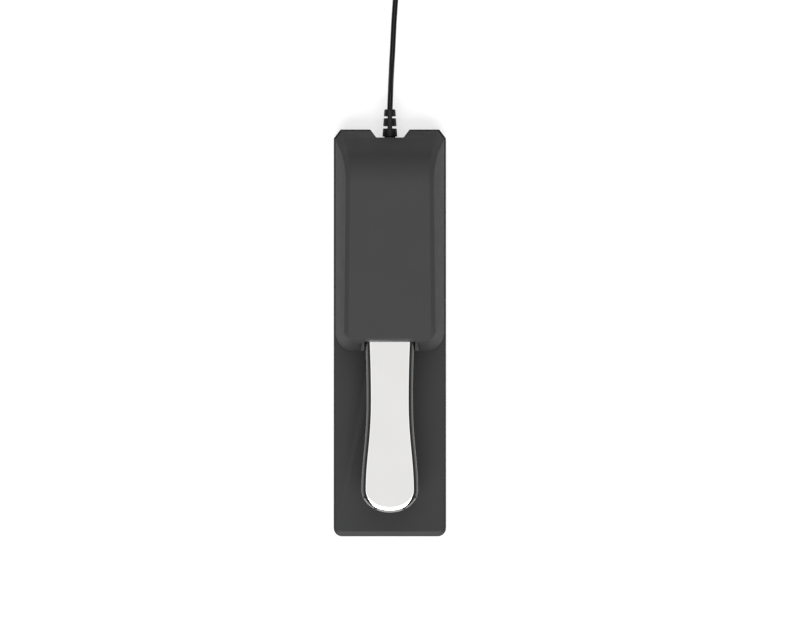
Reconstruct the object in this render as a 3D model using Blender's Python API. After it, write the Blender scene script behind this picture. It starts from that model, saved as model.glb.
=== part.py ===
"""Sustain pedal: a weighted floor pedal with a chromed lever, a moulded cover and a captive lead.

The scene is in metres, +Z up, with +Y towards the lead and the origin on the floor at the middle of
the footprint. The numbers below are millimetres, and make() turns them into metres.
"""

import math

import bmesh
import bpy
from mathutils import Matrix, Vector

MM = 0.001
GAP = 0.3  # left between pieces that touch

# Footprint and base
LENGTH = 257.4
WIDTH = 71.0
FRONT_RADIUS = 5.3
REAR_CHAMFER = (4.3, 5.6)  # along X, along Y
NOTCH_MOUTH = 12.45  # half width at the rear face
NOTCH_FLOOR = 8.35  # half width at the notch's inner wall
NOTCH_DEPTH = 5.4
WALL = 2.5
SHELL_BOTTOM = 1.2
DECK_TOP = 12.0
DECK_EDGE = 1.5  # height of the bevel round the deck, and its width along the sides
FRONT_EDGE = 3.0  # its width at the front
REAR_EDGE = 0.15  # its width behind the housing
SOLE_TOP = 2.2
PLATE_BOTTOM = SOLE_TOP + GAP
PLATE_TOP = 7.0

# Top housing
FOOT_Z = DECK_TOP + GAP
FOOT_HALF = 34.3
HOUSING_REAR = 127.5
HOUSING_FRONT = -11.6
HOUSING_CHAMFER = (4.0, 5.3)
CORNER_RADIUS = 12.0  # front corners, at the foot
BELT_Z = 22.0  # below it the walls are upright, above it they lean in
DRAFT = 0.203  # how far the walls lean in for each unit of height
CREST_Y = 92.8  # centre of the arc that joins the rear slope to the top plate
CREST_Z = 34.1
CREST_RADIUS = 24.0
PLATE_TILT = math.radians(3.0)
REAR_TILT = math.radians(62.0)
EDGE_DROP = 3.0  # bevel between the side wall and the top plate
EDGE_WIDTH = 2.7
FACET_START = 94.0  # where that bevel begins to open into the rear corner facet
FACET_END = 124.0
FACET_DROP = 5.5
FACET_WIDTH = 2.5
OPENING_HALF = 16.1
OPENING_TOP = 47.5
LIP_WIDTH = 1.5  # steep facet along the opening's top edge
LIP_HEIGHT = 3.2
JAMB_SPLAY = 2.4  # width of the cheek beside the opening
JAMB_TOP = 46.0
JAMB_PROUD = 0.2  # how far the cheeks stand in front of the wall's foot

# Lever
PIVOT = Vector((0.0, 55.0, 32.0))
LEVER_TOP = 44.0
LEVER_METAL = 1.8
LEVER_REAR = 64.0
LEVER_SKIRT = 33.0  # lower edge of the part that shows
LEVER_SKIRT_REAR = 24.0  # lower edge round the pivot
WAIST_Y = -42.5
WAIST_HALF = 14.85
NECK_Y = -7.7
NECK_HALF = 15.6
NOSE_Y = -99.4
NOSE_HALF = 18.15
NOSE_LENGTH = 14.5

# Pivot hardware
AXLE_RADIUS = 3.0
BUSH_RADIUS = 4.5
EAR_INNER = 16.4
EAR_OUTER = 18.4

# Spring, stops and switch, along the middle
SPRING_Y = 8.0
SPRING_RADIUS = 6.4
SPRING_WIRE = 0.9  # radius of the wire
SPRING_TURNS = 6
SEAT_TOP = 13.3
SEAT_UNDER = 41.0
STOP_Y = 28.0
STOP_POST_RADIUS = 6.0
STOP_POST_TOP = 30.0
UP_STOP_Y = 4.0
UP_STOP_HALF = (12.0, 4.0)
BOARD_Y = 82.0
BOARD_HALF = (15.0, 10.0)
BOARD_Z = 16.0
BOARD_THICK = 1.6
BOARD_TOP = BOARD_Z + BOARD_THICK + GAP
SWITCH_Y = 80.0
PLUNGER_TOP = 32.0

# Polarity switch, in the plate's window
POLARITY_Y = 91.0
POLARITY_HALF = (10.2, 5.2)
SOLE_WINDOW_HALF = (8.0, 4.5)
WIRE_SLOT = ((-4.0, 4.0), (94.0, 98.0))  # in the deck, for the polarity switch's wires

# Screws
HOUSING_SCREWS = [(28.2, 100.0), (-28.2, 100.0), (28.2, 10.0), (-28.2, 10.0)]
SCREW_RADIUS = 1.5
HEAD_RECESS = (3.3, 2.0)  # radius and depth in the ballast plate
BRACKET_SCREW_X = 12.0
BRACKET_SCREW_RADIUS = 1.5
BOARD_SCREW_X = 11.0
BOARD_SCREW_Y = BOARD_Y + 6.0
CLAMP_SCREW_X = 6.0
SMALL_SCREW_RADIUS = 1.0

# Lead
CORD_RADIUS = 1.75
EXIT_Z = 17.5
RELIEF_END = 141.1
CLAMP_Y = 106.0
SADDLE_HALF = (9.0, 4.0)
SADDLE_TOP = EXIT_Z - CORD_RADIUS - GAP
CLAMP_TOP = EXIT_Z + 4.5
COIL_CENTRE = Vector((31.9, 246.0))
COIL_MEAN = 20.5
COIL_HALF_WIDTH = 8.75
COIL_HEIGHT = 11.0
FLOOR_GAP = 0.05  # the coil and its tie lie this far above the floor plane
CORD_ROUTE = [
    (0.0, 141.4, 17.5),
    (0.2, 146.5, 17.3),
    (0.4, 152.0, 15.6),
    (0.6, 158.0, 11.8),
    (0.9, 164.5, 7.2),
    (1.2, 171.0, 3.6),
    (1.6, 178.0, 2.0),
    (2.0, 186.0, 1.8),
    (2.6, 198.0, 1.8),
    (3.3, 208.6, 1.8),
    (4.0, 220.0, 1.8),
    (4.4, 231.0, 1.8),
]
TAIL_ROUTE = [
    (3.9, 260.8, 7.1),
    (3.7, 263.3, 6.6),
    (3.6, 265.5, 6.3),
]
PLUG_X = 3.6
PLUG_Y = 265.8
PLUG_Z = 6.3


# ---------------------------------------------------------------- tools


def clear_scene():
    for obj in list(bpy.data.objects):
        bpy.data.objects.remove(obj, do_unlink=True)


def material(name, colour, roughness, metallic=0.0):
    made = bpy.data.materials.new(name)
    made.use_nodes = True
    shader = made.node_tree.nodes["Principled BSDF"]
    shader.inputs["Base Color"].default_value = (*colour, 1.0)
    shader.inputs["Roughness"].default_value = roughness
    shader.inputs["Metallic"].default_value = metallic
    return made


def make(name, bm, finish=None, place=None, smooth=35.0):
    """A named object from a bmesh in millimetres. Without a finish it is a hidden tool."""
    bm.transform((place or Matrix()))
    bm.transform(Matrix.Scale(MM, 4))
    bmesh.ops.recalc_face_normals(bm, faces=bm.faces)
    mesh = bpy.data.meshes.new(name)
    bm.to_mesh(mesh)
    bm.free()
    mesh.shade_smooth()
    mesh.set_sharp_from_angle(angle=math.radians(smooth))
    obj = bpy.data.objects.new(name, mesh)
    bpy.context.scene.collection.objects.link(obj)
    if finish:
        mesh.materials.append(finish)
    else:
        obj.hide_render = True
        obj.display_type = "WIRE"
    return obj


def boolean(target, tool, operation):
    step = target.modifiers.new(tool.name, "BOOLEAN")
    step.object = tool
    step.operation = operation


def set_origin(obj, point):
    """Moves the object's origin to a point in millimetres and leaves its shape where it is."""
    offset = Vector(point) * MM
    obj.data.transform(Matrix.Translation(-offset))
    obj.location = offset


def hang(obj, parent):
    obj.parent = parent
    obj.matrix_parent_inverse = Matrix.Translation(-parent.location)


def along(point, direction):
    """A matrix that stands a shape built along +Z at a point, pointing in a direction."""
    turn = Vector(direction).to_track_quat("Z", "Y").to_matrix().to_4x4()
    return Matrix.Translation(Vector(point)) @ turn


def loft(bm, rings, ladder=False):
    """A closed body through rings of equal length. A ladder cap joins mirrored points in strips."""
    loops = [[bm.verts.new(p) for p in ring] for ring in rings]
    count = len(rings[0])
    for low, high in zip(loops, loops[1:]):
        for i in range(count):
            j = (i + 1) % count
            bm.faces.new((low[i], low[j], high[j], high[i]))
    for loop in (loops[0], loops[-1]):
        if ladder:
            for i in range(count // 2 - 1):
                bm.faces.new((loop[i], loop[i + 1], loop[-2 - i], loop[-1 - i]))
        else:
            bm.faces.new(loop)


def prism(bm, outline, low, high):
    loft(bm, [[(x, y, z) for x, y in outline] for z in (low, high)])


def block(bm, x, y, z):
    """A box between two values along each axis."""
    outline = [(x[0], y[0]), (x[1], y[0]), (x[1], y[1]), (x[0], y[1])]
    prism(bm, outline, *z)


def circle(radius, steps, centre=(0.0, 0.0)):
    turns = [2 * math.pi * i / steps for i in range(steps)]
    return [(centre[0] + radius * math.cos(a), centre[1] + radius * math.sin(a)) for a in turns]


def cylinder(bm, radius, low, high, steps=16, centre=(0.0, 0.0)):
    prism(bm, circle(radius, steps, centre), low, high)


def turned(profile, steps=16):
    """A body turned about Z from (radius, height) points. It ends in flat caps."""
    bm = bmesh.new()
    loft(bm, [[(x, y, z) for x, y in circle(r, steps)] for r, z in profile])
    return bm


def turned_ring(profile, steps=24):
    """A ring turned about Z from a closed profile of (radius, height) points."""
    bm = bmesh.new()
    loops = [[bm.verts.new((x, y, z)) for x, y in circle(r, steps)] for r, z in profile]
    for k, low in enumerate(loops):
        high = loops[(k + 1) % len(loops)]
        for i in range(steps):
            j = (i + 1) % steps
            bm.faces.new((low[i], low[j], high[j], high[i]))
    return bm


def mirrored(half):
    """A loop from its +X half, listed from rear to front."""
    return half + [(-x, y) for x, y in reversed(half)]


def inset(loop, distance):
    """The loop moved inwards. It runs clockwise from above."""
    moved = []
    for i, here in enumerate(loop):
        before = (Vector(here) - Vector(loop[i - 1])).normalized()
        after = (Vector(loop[(i + 1) % len(loop)]) - Vector(here)).normalized()
        first = Vector((before.y, -before.x))
        second = Vector((after.y, -after.x))
        moved.append(tuple(Vector(here) + (first + second) * distance / (1 + first.dot(second))))
    return moved


def arc(centre, radii, start, end, steps):
    """Points on an ellipse from one angle to another, in degrees."""
    turns = [math.radians(start + (end - start) * i / steps) for i in range(steps + 1)]
    return [(centre[0] + radii[0] * math.cos(a), centre[1] + radii[1] * math.sin(a)) for a in turns]


def smooth_step(value):
    value = max(0.0, min(1.0, value))
    return value * value * (3 - 2 * value)


def mix(a, b, t):
    return a + (b - a) * t


def smooth_route(points, spacing):
    """Points read at an even spacing from a smooth curve through the given ones."""
    knots = [Vector(p) for p in points]
    knots = [2 * knots[0] - knots[1]] + knots + [2 * knots[-1] - knots[-2]]
    fine = []
    for a, b, c, d in zip(knots, knots[1:], knots[2:], knots[3:]):
        for t in (i / 20 for i in range(20)):
            bend = (2 * a - 5 * b + 4 * c - d) * t * t + (3 * b - a - 3 * c + d) * t**3
            fine.append(0.5 * (2 * b + (c - a) * t + bend))
    fine.append(knots[-2])
    length = sum((q - p).length for p, q in zip(fine, fine[1:]))
    count = max(2, round(length / spacing))
    wanted, gone, route = length / count, 0.0, [fine[0]]
    for p, q in zip(fine, fine[1:]):
        step = (q - p).length
        while gone + step >= wanted * len(route) - 1e-6 and len(route) < count:
            route.append(p.lerp(q, (wanted * len(route) - gone) / step))
        gone += step
    return route + [fine[-1]]


def tube(name, points, radius, finish, resolution=2):
    """A round tube along points in millimetres, with closed ends."""
    curve = bpy.data.curves.new(name, "CURVE")
    curve.dimensions = "3D"
    curve.bevel_depth = radius * MM
    curve.bevel_resolution = resolution
    curve.use_fill_caps = True
    line = curve.splines.new("POLY")
    line.points.add(len(points) - 1)
    for spot, point in zip(line.points, points):
        spot.co = (*(Vector(point) * MM), 1.0)
    curve.materials.append(finish)
    obj = bpy.data.objects.new(name, curve)
    bpy.context.scene.collection.objects.link(obj)
    return obj


def screw(name, finish, point, direction, shank, head_radius, head_height, radius):
    """A pan-head screw whose head sits behind the point, with the shank along the direction."""
    profile = [
        (head_radius * 0.8, -head_height),
        (head_radius, -head_height * 0.55),
        (head_radius, 0.0),
        (radius, 0.0),
        (radius, shank - radius),
        (radius * 0.3, shank),
    ]
    return make(name, turned(profile, 12), finish, along(point, direction))


# ---------------------------------------------------------------- base


def base_outline():
    rear = LENGTH / 2
    side = WIDTH / 2
    half = [
        (NOTCH_FLOOR, rear - NOTCH_DEPTH),
        (NOTCH_MOUTH, rear),
        (side - REAR_CHAMFER[0], rear),
        (side, rear - REAR_CHAMFER[1]),
    ]
    centre = (side - FRONT_RADIUS, FRONT_RADIUS - rear)
    return mirrored(half + arc(centre, (FRONT_RADIUS, FRONT_RADIUS), 0, -90, 5))


def deck_rim(outline):
    """The deck's edge, inside its bevel: wide at the front, narrow behind the housing."""
    rim = []
    for (x, y), (inner_x, inner_y) in zip(outline, inset(outline, 1.0)):
        front = smooth_step((6.0 - LENGTH / 2 - y) / 5.0)
        rear = smooth_step((y - LENGTH / 2 + 8.0) / 6.0)
        width = mix(mix(DECK_EDGE, FRONT_EDGE, front), REAR_EDGE, rear)
        rim.append((x + (inner_x - x) * width, y + (inner_y - y) * width, DECK_TOP))
    return rim


def base_shell(finish):
    """The lower shell, open underneath, with the posts that its deck carries."""
    outline = base_outline()

    def ring(distance, z):
        return [(x, y, z) for x, y in inset(outline, distance)]

    bm = bmesh.new()
    rings = [
        ring(WALL, DECK_TOP - WALL),
        ring(WALL, SHELL_BOTTOM),
        ring(0.0, SHELL_BOTTOM),
        ring(0.0, DECK_TOP - DECK_EDGE),
        deck_rim(outline),
    ]
    loft(bm, rings)
    shell = make("base_shell", bm, finish)

    posts = bmesh.new()
    cylinder(posts, STOP_POST_RADIUS, DECK_TOP - 1, STOP_POST_TOP, centre=(0, STOP_Y))
    for x, y in HOUSING_SCREWS:
        cylinder(posts, 4.0, PLATE_TOP + GAP, DECK_TOP - 1, 12, (x, y))
    for x in (-BOARD_SCREW_X, BOARD_SCREW_X):
        cylinder(posts, 3.0, DECK_TOP - 1, BOARD_Z - GAP, 12, (x, BOARD_SCREW_Y))
    saddle_x, saddle_y = SADDLE_HALF
    saddle = (CLAMP_Y - saddle_y, CLAMP_Y + saddle_y)
    block(posts, (-saddle_x, saddle_x), saddle, (DECK_TOP - 1, SADDLE_TOP))
    boolean(shell, make("base_posts", posts), "UNION")

    holes = bmesh.new()
    under = DECK_TOP - 4
    for x, y in HOUSING_SCREWS:
        cylinder(holes, SCREW_RADIUS + GAP, 5, DECK_TOP + 2, 12, (x, y))
    for side in (-1, 1):
        small = SMALL_SCREW_RADIUS + GAP
        cylinder(holes, small, under, BOARD_Z + 2, 12, (side * BOARD_SCREW_X, BOARD_SCREW_Y))
        cylinder(holes, small, under, SADDLE_TOP + 1, 12, (side * CLAMP_SCREW_X, CLAMP_Y))
        bracket = BRACKET_SCREW_RADIUS + GAP
        cylinder(holes, bracket, under, DECK_TOP + 3, 12, (side * BRACKET_SCREW_X, PIVOT.y))
    block(holes, *WIRE_SLOT, (under, DECK_TOP + 2))
    boolean(shell, make("base_holes", holes), "DIFFERENCE")


def polarity_block(half, low, high):
    """A box round the polarity switch's place, from its half width and half depth."""
    bm = bmesh.new()
    block(bm, (-half[0], half[0]), (POLARITY_Y - half[1], POLARITY_Y + half[1]), (low, high))
    return bm


def ballast_plate(finish):
    bm = bmesh.new()
    prism(bm, inset(base_outline(), WALL + 0.6), PLATE_BOTTOM, PLATE_TOP)
    plate = make("ballast_plate", bm, finish)
    holes = bmesh.new()
    recess, depth = HEAD_RECESS
    steps = [(recess, PLATE_BOTTOM - 1), (recess, PLATE_BOTTOM + depth)]
    steps += [(SCREW_RADIUS + GAP, PLATE_BOTTOM + depth), (SCREW_RADIUS + GAP, PLATE_TOP + 1)]
    for place in HOUSING_SCREWS:
        loft(holes, [[(x, y, z) for x, y in circle(radius, 12, place)] for radius, z in steps])
    boolean(plate, make("plate_holes", holes), "DIFFERENCE")
    half_x, half_y = POLARITY_HALF
    window = polarity_block((half_x + 0.4, half_y + 0.4), PLATE_BOTTOM - 1, PLATE_TOP + 1)
    boolean(plate, make("plate_window", window), "DIFFERENCE")


def rubber_sole(finish):
    bm = bmesh.new()
    prism(bm, inset(base_outline(), WALL + 0.4), 0.0, SOLE_TOP)
    sole = make("rubber_sole", bm, finish)
    window = polarity_block(SOLE_WINDOW_HALF, -1, SOLE_TOP + 1)
    boolean(sole, make("sole_window", window), "DIFFERENCE")


def polarity_switch(body_finish, knob_finish):
    """The slide switch in the plate's window, worked from below through the sole."""
    case = polarity_block(POLARITY_HALF, SOLE_TOP + GAP, DECK_TOP - WALL - 0.4)
    body = make("polarity_switch_body", case, body_finish)
    slot = polarity_block((5.6, 2.3), 0, 4.8)
    boolean(body, make("polarity_slot", slot), "DIFFERENCE")
    step = bmesh.new()
    outline = [(-5.2, 4.5), (-5.2, 1.9), (-3.6, 1.9), (-3.6, 0.8), (-0.6, 0.8), (-0.6, 1.9)]
    outline += [(1.0, 1.9), (1.0, 4.5)]
    loft(step, [[(x, POLARITY_Y + y, z) for x, z in outline] for y in (-2.0, 2.0)])
    set_origin(make("polarity_slide", step, knob_finish), (-2.1, POLARITY_Y, 2.6))


# ---------------------------------------------------------------- housing


def roof_z(y, depth=0.0):
    """Height of the housing's top along its middle: top plate, crest arc and rear slope."""
    radius = CREST_RADIUS - depth
    lean = math.asin(max(-1.0, min(1.0, (y - CREST_Y) / radius)))
    lean = max(-PLATE_TILT, min(REAR_TILT, lean))
    arc_y = CREST_Y + radius * math.sin(lean)
    arc_z = CREST_Z + radius * math.cos(lean)
    return arc_z - (y - arc_y) * math.tan(lean)


def housing_stations():
    """(foot point, inward direction) down the +X side and round the front corner."""
    stations = [((FOOT_HALF, HOUSING_REAR - HOUSING_CHAMFER[1]), (-1.0, 0.0))]
    front = HOUSING_FRONT + CORNER_RADIUS
    for y in (118.5, 115.0, 111.5, 108.0, 104.0, 100.0, 96.0, 91.5, 50.0, front):
        stations.append(((FOOT_HALF, y), (-1.0, 0.0)))
    centre = (FOOT_HALF - CORNER_RADIUS, front)
    for x, y in arc(centre, (CORNER_RADIUS, CORNER_RADIUS), 0, -90, 6)[1:]:
        stations.append(((x, y), ((centre[0] - x) / CORNER_RADIUS, (centre[1] - y) / CORNER_RADIUS)))
    return stations


def housing_rings(depth, foot):
    """Foot, belt, shoulder and top-edge loops of the housing's outside, or of its inside."""
    corner_x = FOOT_HALF - HOUSING_CHAMFER[0] - depth * 0.4
    rear = HOUSING_REAR - depth
    rear_top = roof_z(rear - 0.7, depth)
    rows = [
        [(corner_x, rear, foot)],
        [(corner_x, rear, rear_top - 2.6)],
        [(corner_x, rear, rear_top - 1.6)],
        [(corner_x - 1.0, rear - 0.7, rear_top)],
    ]
    for (x, y), (nx, ny) in housing_stations():
        opened = smooth_step((y - FACET_START) / (FACET_END - FACET_START))
        drop = EDGE_DROP + FACET_DROP * opened
        width = EDGE_WIDTH + FACET_WIDTH * opened
        shoulder_z = roof_z(y, depth) - drop
        belt_z = min(BELT_Z, shoulder_z - 0.5)
        lean = depth + max(0.0, shoulder_z - BELT_Z) * DRAFT
        top_y = y + ny * (lean + width)
        rows[0].append((x + nx * depth, y + ny * depth, foot))
        rows[1].append((x + nx * depth, y + ny * depth, belt_z))
        rows[2].append((x + nx * lean, y + ny * lean, shoulder_z))
        rows[3].append((x + nx * (lean + width), top_y, roof_z(top_y, depth)))
    return [row + [(-x, y, z) for x, y, z in reversed(row)] for row in rows]


def opening_cutter():
    """The lever opening through the front wall."""
    bm = bmesh.new()
    block(bm, (-OPENING_HALF, OPENING_HALF), (-16.0, 0.0), (5.0, OPENING_TOP))
    return make("opening_cutter", bm)


def lip_cutter():
    """A wedge that leaves a steep lip along the opening's top edge."""
    edge = HOUSING_FRONT + (OPENING_TOP - BELT_Z) * DRAFT
    (y0, z0), (y1, z1) = ((edge + LIP_WIDTH * t, OPENING_TOP + LIP_HEIGHT * t) for t in (-0.4, 1.3))
    side = [(y0, z0), (y1, z1), (edge - 3.0, z1), (edge - 3.0, z0)]
    bm = bmesh.new()
    loft(bm, [[(x, y, z) for y, z in side] for x in (-OPENING_HALF, OPENING_HALF)])
    return make("lip_cutter", bm)


def jamb_post(side):
    """An upright cheek beside the opening, standing forward of the leaning wall."""
    front, rear = HOUSING_FRONT - JAMB_PROUD, HOUSING_FRONT + 7.8
    plan = [(side * (OPENING_HALF - 0.8), front), (side * (OPENING_HALF + JAMB_SPLAY), front)]
    plan += [(side * (OPENING_HALF + 0.5), rear), (side * (OPENING_HALF - 0.8), rear)]
    tops = [JAMB_TOP - 4.0, JAMB_TOP - 4.0, JAMB_TOP, JAMB_TOP]
    bm = bmesh.new()
    loft(bm, [[(x, y, FOOT_Z + 0.1) for x, y in plan], [(x, y, z) for (x, y), z in zip(plan, tops)]])
    return make("jamb_post", bm)


def top_housing(finish):
    bm = bmesh.new()
    outside = housing_rings(0.0, FOOT_Z)
    inside = housing_rings(WALL, FOOT_Z)
    loft(bm, inside[::-1] + outside, ladder=True)
    housing = make("top_housing", bm, finish)

    pads = bmesh.new()
    for x, y in HOUSING_SCREWS:
        cylinder(pads, 3.9, FOOT_Z + 0.2, 30.0, 12, (x, y))
    pad = [(120.9, 12.8), (125.2, 12.8), (125.2, 20.5), (120.9, 28.5)]
    loft(pads, [[(x, y, z) for y, z in pad] for x in (-13.0, 13.0)])
    boolean(housing, make("housing_pads", pads), "UNION")

    holes = bmesh.new()
    for x, y in HOUSING_SCREWS:
        cylinder(holes, SCREW_RADIUS + GAP, 8.0, 25.0, 12, (x, y))
    grow = 0.5
    wall = LENGTH / 2 - NOTCH_DEPTH - grow
    reach = 132.0
    mouth = NOTCH_FLOOR + grow + (reach - wall) * (NOTCH_MOUTH - NOTCH_FLOOR) / NOTCH_DEPTH
    notch = [(-NOTCH_FLOOR - grow, wall), (NOTCH_FLOOR + grow, wall), (mouth, reach), (-mouth, reach)]
    prism(holes, notch, 5.0, 45.0)
    boolean(housing, make("housing_holes", holes), "DIFFERENCE")
    boolean(housing, jamb_post(-1), "UNION")
    boolean(housing, jamb_post(1), "UNION")
    boolean(housing, opening_cutter(), "DIFFERENCE")
    boolean(housing, lip_cutter(), "DIFFERENCE")
    bore = bmesh.new()
    cylinder(bore, 3.8, -6.0, 6.0, 16)
    boolean(housing, make("relief_bore", bore, None, along((0, 122, EXIT_Z), (0, 1, 0))), "DIFFERENCE")


# ---------------------------------------------------------------- lever


def lever_half(y):
    """Half width of the lever's lower edge."""
    if y > WAIST_Y:
        reach = min(1.0, (y - WAIST_Y) / (NECK_Y - WAIST_Y))
        return WAIST_HALF + (NECK_HALF - WAIST_HALF) * reach**2
    reach = ((WAIST_Y - y) / (WAIST_Y - NOSE_Y)) ** 1.15
    return WAIST_HALF + (NOSE_HALF - WAIST_HALF) * (1 - math.cos(math.pi * reach)) / 2


def lever_outline():
    rows = (LEVER_REAR, 40.0, 15.0, NECK_Y, -20.0, -32.0, WAIST_Y, -55.0, -66.0, -77.0, -88.0)
    half = [(lever_half(y), y) for y in rows]
    nose = arc((0.0, NOSE_Y), (NOSE_HALF, NOSE_LENGTH), 0, -90, 9)[:-1]
    return mirrored(half + nose)


def lever_rings():
    outline = lever_outline()

    def skirt(y):
        reach = max(0.0, min(1.0, (y + 10.0) / 40.0))
        return LEVER_SKIRT + (LEVER_SKIRT_REAR - LEVER_SKIRT) * reach

    def ring(distance, z=None):
        return [(x, y, skirt(y) if z is None else z) for x, y in inset(outline, distance)]

    rolled = [(0.9, 2.6), (1.2, 1.2), (1.9, 0.35), (3.0, 0.0)]
    outside = [ring(distance, LEVER_TOP - drop) for distance, drop in rolled]
    under = LEVER_TOP - LEVER_METAL
    inside = [ring(4.4, under), ring(3.0, under - 0.8), ring(LEVER_METAL + 0.9, under - 2.2)]
    return inside + [ring(LEVER_METAL), ring(0.0)] + outside


def pedal_lever(finish):
    bm = bmesh.new()
    loft(bm, lever_rings(), ladder=True)
    lever = make("pedal_lever", bm, finish)
    cuts = bmesh.new()
    cylinder(cuts, BUSH_RADIUS + GAP, -25, 25, 16)
    boolean(lever, make("bush_holes", cuts, None, along(PIVOT, (1, 0, 0))), "DIFFERENCE")
    notch = bmesh.new()
    block(notch, (-6.5, 6.5), (59.0, 70.0), (20.0, LEVER_TOP - LEVER_METAL))
    boolean(lever, make("finger_notch", notch), "DIFFERENCE")
    return lever


def switch_finger(finish):
    """The arm under the lever's tail that lifts off the switch plunger."""
    tip = PLUNGER_TOP + GAP
    side = [(47, 38.9), (79, 38.9), (79, tip), (84, tip), (84, 38.9), (86, 40.4), (86, 41.8), (47, 41.8)]
    bm = bmesh.new()
    loft(bm, [[(x, y, z) for y, z in side] for x in (-4.0, 4.0)])
    return make("switch_finger", bm, finish)


def pivot_parts(steel, nylon, riding):
    bracket = bmesh.new()
    profile = [
        (-EAR_OUTER, 12.3), (EAR_OUTER, 12.3), (EAR_OUTER, 38.5), (EAR_INNER, 38.5),
        (EAR_INNER, 14.3), (-EAR_INNER, 14.3), (-EAR_INNER, 38.5), (-EAR_OUTER, 38.5),
    ]
    loft(bracket, [[(x, y, z) for x, z in profile] for y in (45.0, 65.0)])
    bracket = make("pivot_bracket", bracket, steel)
    hole = bmesh.new()
    cylinder(hole, AXLE_RADIUS + GAP, -25, 25, 16)
    boolean(bracket, make("ear_holes", hole, None, along(PIVOT, (1, 0, 0))), "DIFFERENCE")
    feet = bmesh.new()
    for x in (-BRACKET_SCREW_X, BRACKET_SCREW_X):
        cylinder(feet, BRACKET_SCREW_RADIUS + GAP, 10, 16, 12, (x, PIVOT.y))
    boolean(bracket, make("bracket_holes", feet), "DIFFERENCE")
    for side, x in (("left", -BRACKET_SCREW_X), ("right", BRACKET_SCREW_X)):
        point = (x, PIVOT.y, 14.3 + GAP)
        screw(f"bracket_screw_{side}", steel, point, (0, 0, -1), 6.5, 2.8, 1.8, BRACKET_SCREW_RADIUS)

    end = AXLE_RADIUS - 0.5
    rod = [(end, -21.0), (AXLE_RADIUS, -20.5), (AXLE_RADIUS, 20.5), (end, 21.0)]
    make("pivot_axle", turned(rod), steel, along(PIVOT, (1, 0, 0)))
    outer = arc((0, 0), (5.4, 5.4), -140, 140, 14)
    inner = arc((0, 0), (3.3, 3.3), 140, -140, 14)
    for side, x in (("left", -1), ("right", 1)):
        clip = bmesh.new()
        prism(clip, outer + inner, 0.0, 0.9)
        make(f"axle_clip_{side}", clip, steel, along(PIVOT + Vector((x * 18.7, 0, 0)), (x, 0, 0)))
        bore = AXLE_RADIUS + GAP
        sleeve = [(bore, 12.0), (bore, 16.1), (BUSH_RADIUS, 16.1), (BUSH_RADIUS, 12.9)]
        bush = turned_ring(sleeve + [(6.2, 12.9), (6.2, 12.0)], 16)
        riding.append(make(f"pivot_bush_{side}", bush, nylon, along(PIVOT, (x, 0, 0))))


def return_spring(finish):
    """A helix with one closed turn at each end."""
    low = SEAT_TOP + GAP + SPRING_WIRE
    high = SEAT_UNDER - GAP - SPRING_WIRE
    closed = 2 * SPRING_WIRE + 0.1
    steps = 12
    points = []
    for i in range(SPRING_TURNS * steps + 1):
        turns = i / steps
        middle = (turns - 1) / (SPRING_TURNS - 2)
        z = low + closed + (high - low - 2 * closed) * middle
        if turns < 1:
            z = low + closed * turns
        if turns > SPRING_TURNS - 1:
            z = high - closed * (SPRING_TURNS - turns)
        angle = 2 * math.pi * turns
        points.append((SPRING_RADIUS * math.cos(angle), SPRING_Y + SPRING_RADIUS * math.sin(angle), z))
    tube("return_spring", points, SPRING_WIRE, finish, 1)


def spring_seats(finish):
    lower = turned([(9.0, FOOT_Z), (9.0, SEAT_TOP), (4.6, SEAT_TOP), (4.2, 16.5), (3.6, 17.0)])
    make("spring_seat_lower", lower, finish, Matrix.Translation((0, SPRING_Y, 0)))
    upper = turned([(3.6, 37.5), (4.2, 38.0), (4.6, SEAT_UNDER), (9.0, SEAT_UNDER), (9.0, 41.9)])
    return make("spring_seat_upper", upper, finish, Matrix.Translation((0, SPRING_Y, 0)))


def stops(felt, rubber):
    bm = bmesh.new()
    half_x, half_y = UP_STOP_HALF
    top = roof_z(UP_STOP_Y - half_y, WALL) - GAP - 0.1
    block(bm, (-half_x, half_x), (UP_STOP_Y - half_y, UP_STOP_Y + half_y), (LEVER_TOP + GAP, top))
    make("up_stop_felt", bm, felt)
    low = STOP_POST_TOP + GAP
    cap = turned([(5.6, low), (STOP_POST_RADIUS, low + 1.2), (STOP_POST_RADIUS, 36.0), (4.5, 38.8)])
    make("down_stop_bumper", cap, rubber, Matrix.Translation((0, STOP_Y, 0)))


# ---------------------------------------------------------------- switch and wiring


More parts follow.
